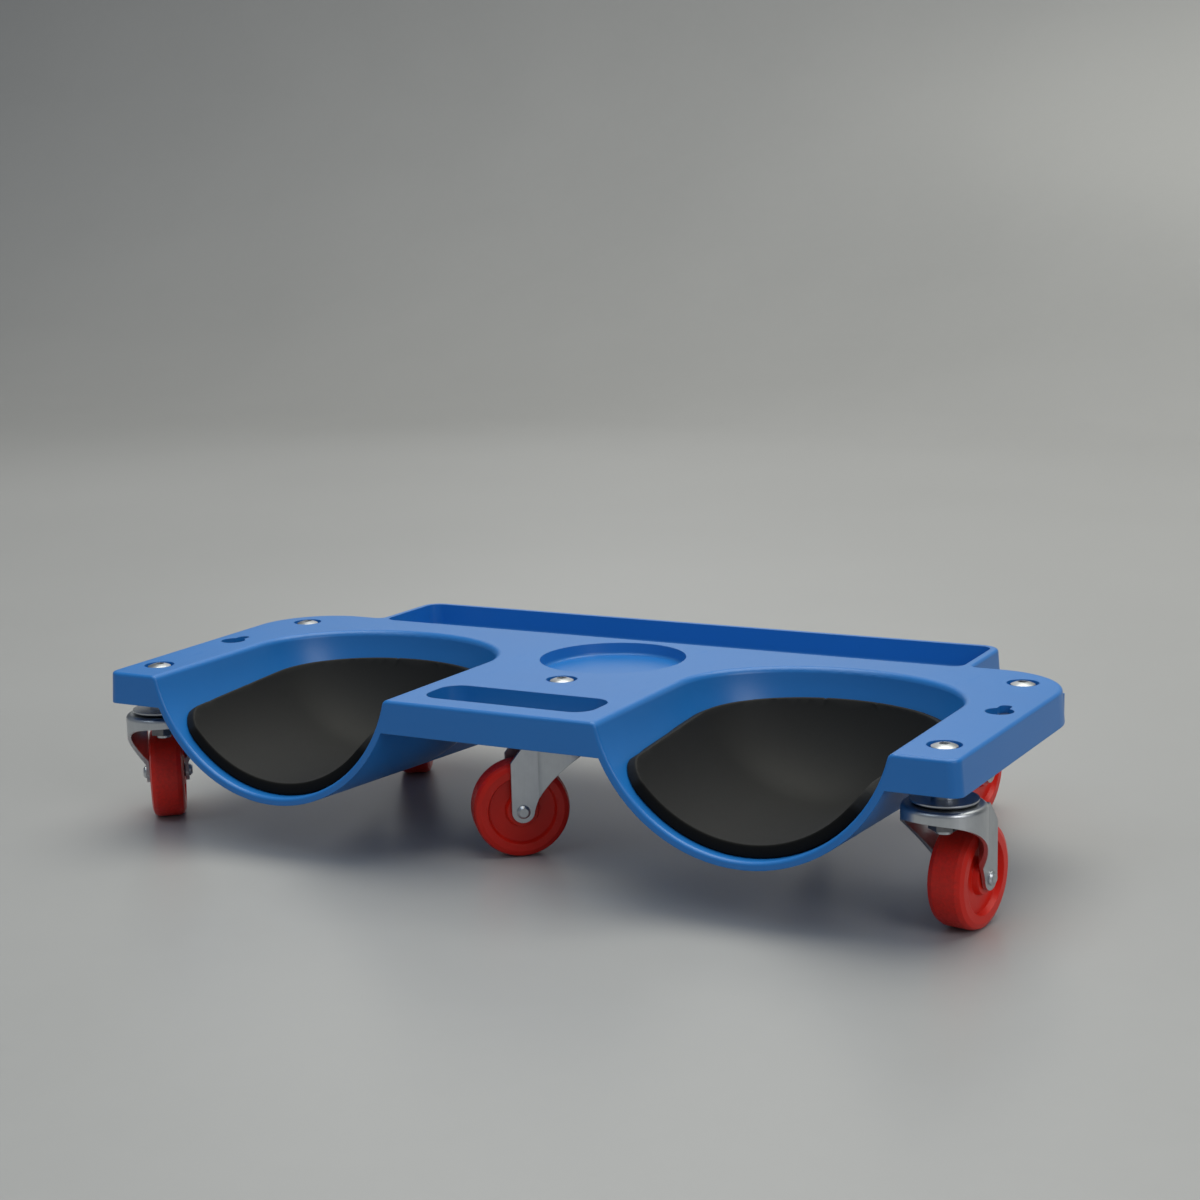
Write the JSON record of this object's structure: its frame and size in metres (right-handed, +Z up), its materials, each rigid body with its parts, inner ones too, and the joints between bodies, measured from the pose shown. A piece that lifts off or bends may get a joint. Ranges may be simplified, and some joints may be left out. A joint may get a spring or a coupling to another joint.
{
  "type": "rolling mechanics kneeler",
  "caption": "Low moulded kneeling creeper with padded knee troughs, a tool tray and a parts dish on swivel casters.",
  "frame": {"origin": "on the floor, below the middle of the deck's width and depth", "axes": "+X to the right of someone who kneels on it, +Y from the open front to the tool tray, +Z up"},
  "size_m": [0.5295, 0.2588, 0.0968],
  "materials": {
    "shell_plastic": "satin",
    "pad_foam": "matte",
    "wheel_plastic": "satin",
    "zinc_steel": "satin",
    "bearing_steel": "polished"
  },
  "bodies": {
    "deck": {"body_shell": "shell_plastic", "left_knee_pad": "pad_foam", "right_knee_pad": "pad_foam", "shoulder_bolts": "zinc_steel", "shoulder_nuts": "zinc_steel", "front_left_stem_bolt": "zinc_steel", "front_left_stem_spacer": "zinc_steel", "front_left_top_race": "zinc_steel", "front_left_stem_nut": "zinc_steel", "front_right_stem_bolt": "zinc_steel", "front_right_stem_spacer": "zinc_steel", "front_right_top_race": "zinc_steel", "front_right_stem_nut": "zinc_steel", "centre_stem_bolt": "zinc_steel", "centre_stem_spacer": "zinc_steel", "centre_top_race": "zinc_steel", "centre_stem_nut": "zinc_steel", "rear_left_stem_bolt": "zinc_steel", "rear_left_stem_spacer": "zinc_steel", "rear_left_top_race": "zinc_steel", "rear_left_stem_nut": "zinc_steel", "rear_right_stem_bolt": "zinc_steel", "rear_right_stem_spacer": "zinc_steel", "rear_right_top_race": "zinc_steel", "rear_right_stem_nut": "zinc_steel"},
    "front_left_swivel": {"front_left_fork": "zinc_steel", "front_left_ball_ring": "bearing_steel", "front_left_wheel_bush": "bearing_steel", "front_left_axle_bolt": "zinc_steel", "front_left_axle_cap": "zinc_steel"},
    "front_left_roller": {"front_left_wheel": "wheel_plastic"},
    "front_right_swivel": {"front_right_fork": "zinc_steel", "front_right_ball_ring": "bearing_steel", "front_right_wheel_bush": "bearing_steel", "front_right_axle_bolt": "zinc_steel", "front_right_axle_cap": "zinc_steel"},
    "front_right_roller": {"front_right_wheel": "wheel_plastic"},
    "centre_swivel": {"centre_fork": "zinc_steel", "centre_ball_ring": "bearing_steel", "centre_wheel_bush": "bearing_steel", "centre_axle_bolt": "zinc_steel", "centre_axle_cap": "zinc_steel"},
    "centre_roller": {"centre_wheel": "wheel_plastic"},
    "rear_left_swivel": {"rear_left_fork": "zinc_steel", "rear_left_ball_ring": "bearing_steel", "rear_left_wheel_bush": "bearing_steel", "rear_left_axle_bolt": "zinc_steel", "rear_left_axle_cap": "zinc_steel"},
    "rear_left_roller": {"rear_left_wheel": "wheel_plastic"},
    "rear_right_swivel": {"rear_right_fork": "zinc_steel", "rear_right_ball_ring": "bearing_steel", "rear_right_wheel_bush": "bearing_steel", "rear_right_axle_bolt": "zinc_steel", "rear_right_axle_cap": "zinc_steel"},
    "rear_right_roller": {"rear_right_wheel": "wheel_plastic"}
  },
  "joints": [
    {"name": "front_left_swivel_turn", "type": "hinge", "parent": "deck", "child": "front_left_swivel", "pos_m": [-0.235, -0.0991, 0.067], "axis": [0, 0, 1], "continuous": true},
    {"name": "front_left_wheel_spin", "type": "hinge", "parent": "front_left_swivel", "child": "front_left_roller", "pos_m": [-0.25056, -0.07953, 0.0265], "axis": [-0.7826, -0.6225, 0], "continuous": true},
    {"name": "front_right_swivel_turn", "type": "hinge", "parent": "deck", "child": "front_right_swivel", "pos_m": [0.235, -0.0991, 0.067], "axis": [0, 0, 1], "continuous": true},
    {"name": "front_right_wheel_spin", "type": "hinge", "parent": "front_right_swivel", "child": "front_right_roller", "pos_m": [0.23891, -0.07441, 0.0265], "axis": [-0.9877, 0.1564, 0], "continuous": true},
    {"name": "centre_swivel_turn", "type": "hinge", "parent": "deck", "child": "centre_swivel", "pos_m": [0, -0.045, 0.067], "axis": [0, 0, 1], "continuous": true},
    {"name": "centre_wheel_spin", "type": "hinge", "parent": "centre_swivel", "child": "centre_roller", "pos_m": [-0.01943, -0.06073, 0.0265], "axis": [0.6293, -0.7771, 0], "continuous": true},
    {"name": "rear_left_swivel_turn", "type": "hinge", "parent": "deck", "child": "rear_left_swivel", "pos_m": [-0.179, 0.082, 0.067], "axis": [0, 0, 1], "continuous": true},
    {"name": "rear_left_wheel_spin", "type": "hinge", "parent": "rear_left_swivel", "child": "rear_left_roller", "pos_m": [-0.16726, 0.05993, 0.0265], "axis": [0.8829, 0.4695, 0], "continuous": true},
    {"name": "rear_right_swivel_turn", "type": "hinge", "parent": "deck", "child": "rear_right_swivel", "pos_m": [0.179, 0.082, 0.067], "axis": [0, 0, 1], "continuous": true},
    {"name": "rear_right_wheel_spin", "type": "hinge", "parent": "rear_right_swivel", "child": "rear_right_roller", "pos_m": [0.18118, 0.10691, 0.0265], "axis": [-0.9962, 0.0872, 0], "continuous": true}
  ]
}
